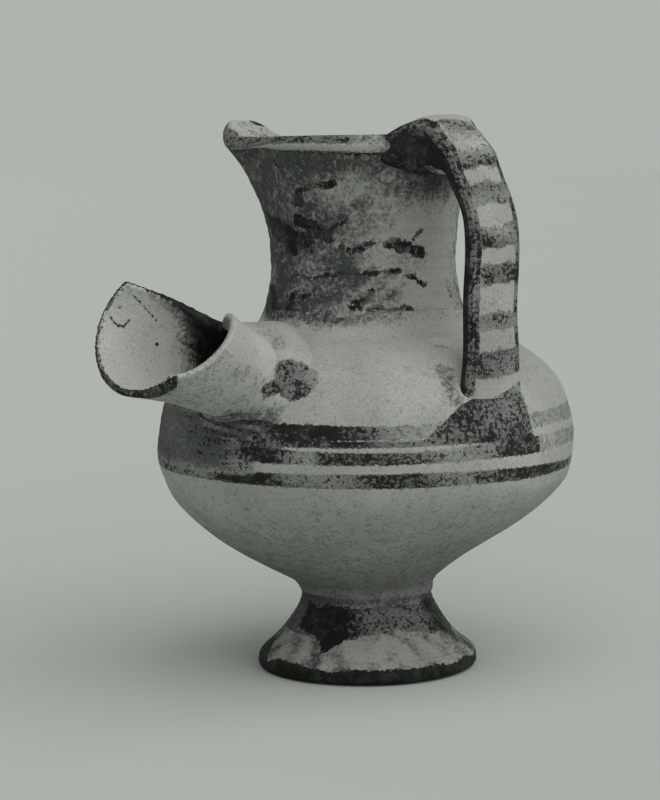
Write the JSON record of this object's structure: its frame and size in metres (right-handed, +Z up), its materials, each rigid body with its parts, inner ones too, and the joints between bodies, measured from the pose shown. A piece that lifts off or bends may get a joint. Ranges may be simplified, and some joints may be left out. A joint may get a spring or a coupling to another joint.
{
  "type": "side-spouted jug",
  "caption": "Squat pottery jug on a conical foot, with a wide neck, a pinched pouring lip, a strap handle and a tubular side spout that opens into a trough.",
  "frame": {"origin": "middle of the bounding box's underside, in the plane that the foot stands on", "axes": "+Z up the neck, +X towards the handle, -X towards the pouring lobe of the lip, the spout towards -Y"},
  "size_m": [0.1204, 0.1562, 0.1581],
  "materials": {
    "foot_clay": "fired clay with worn dark slip, matt",
    "foot_coil_clay": "fired clay, matt",
    "body_clay": "fired clay with worn dark painted bands, matt",
    "neck_coil_clay": "fired clay, matt",
    "neck_clay": "fired clay under worn dark slip, matt",
    "spout_clay": "fired clay with a dark painted lip, matt",
    "spout_coil_clay": "fired clay, matt",
    "handle_clay": "fired clay with dark painted bars, matt"
  },
  "bodies": {
    "root": {"foot": "foot_clay", "foot_coil": "foot_coil_clay", "body": "body_clay", "neck_coil": "neck_coil_clay", "neck": "neck_clay", "spout": "spout_clay", "spout_coil": "spout_coil_clay", "handle": "handle_clay"}
  },
  "joints": []
}
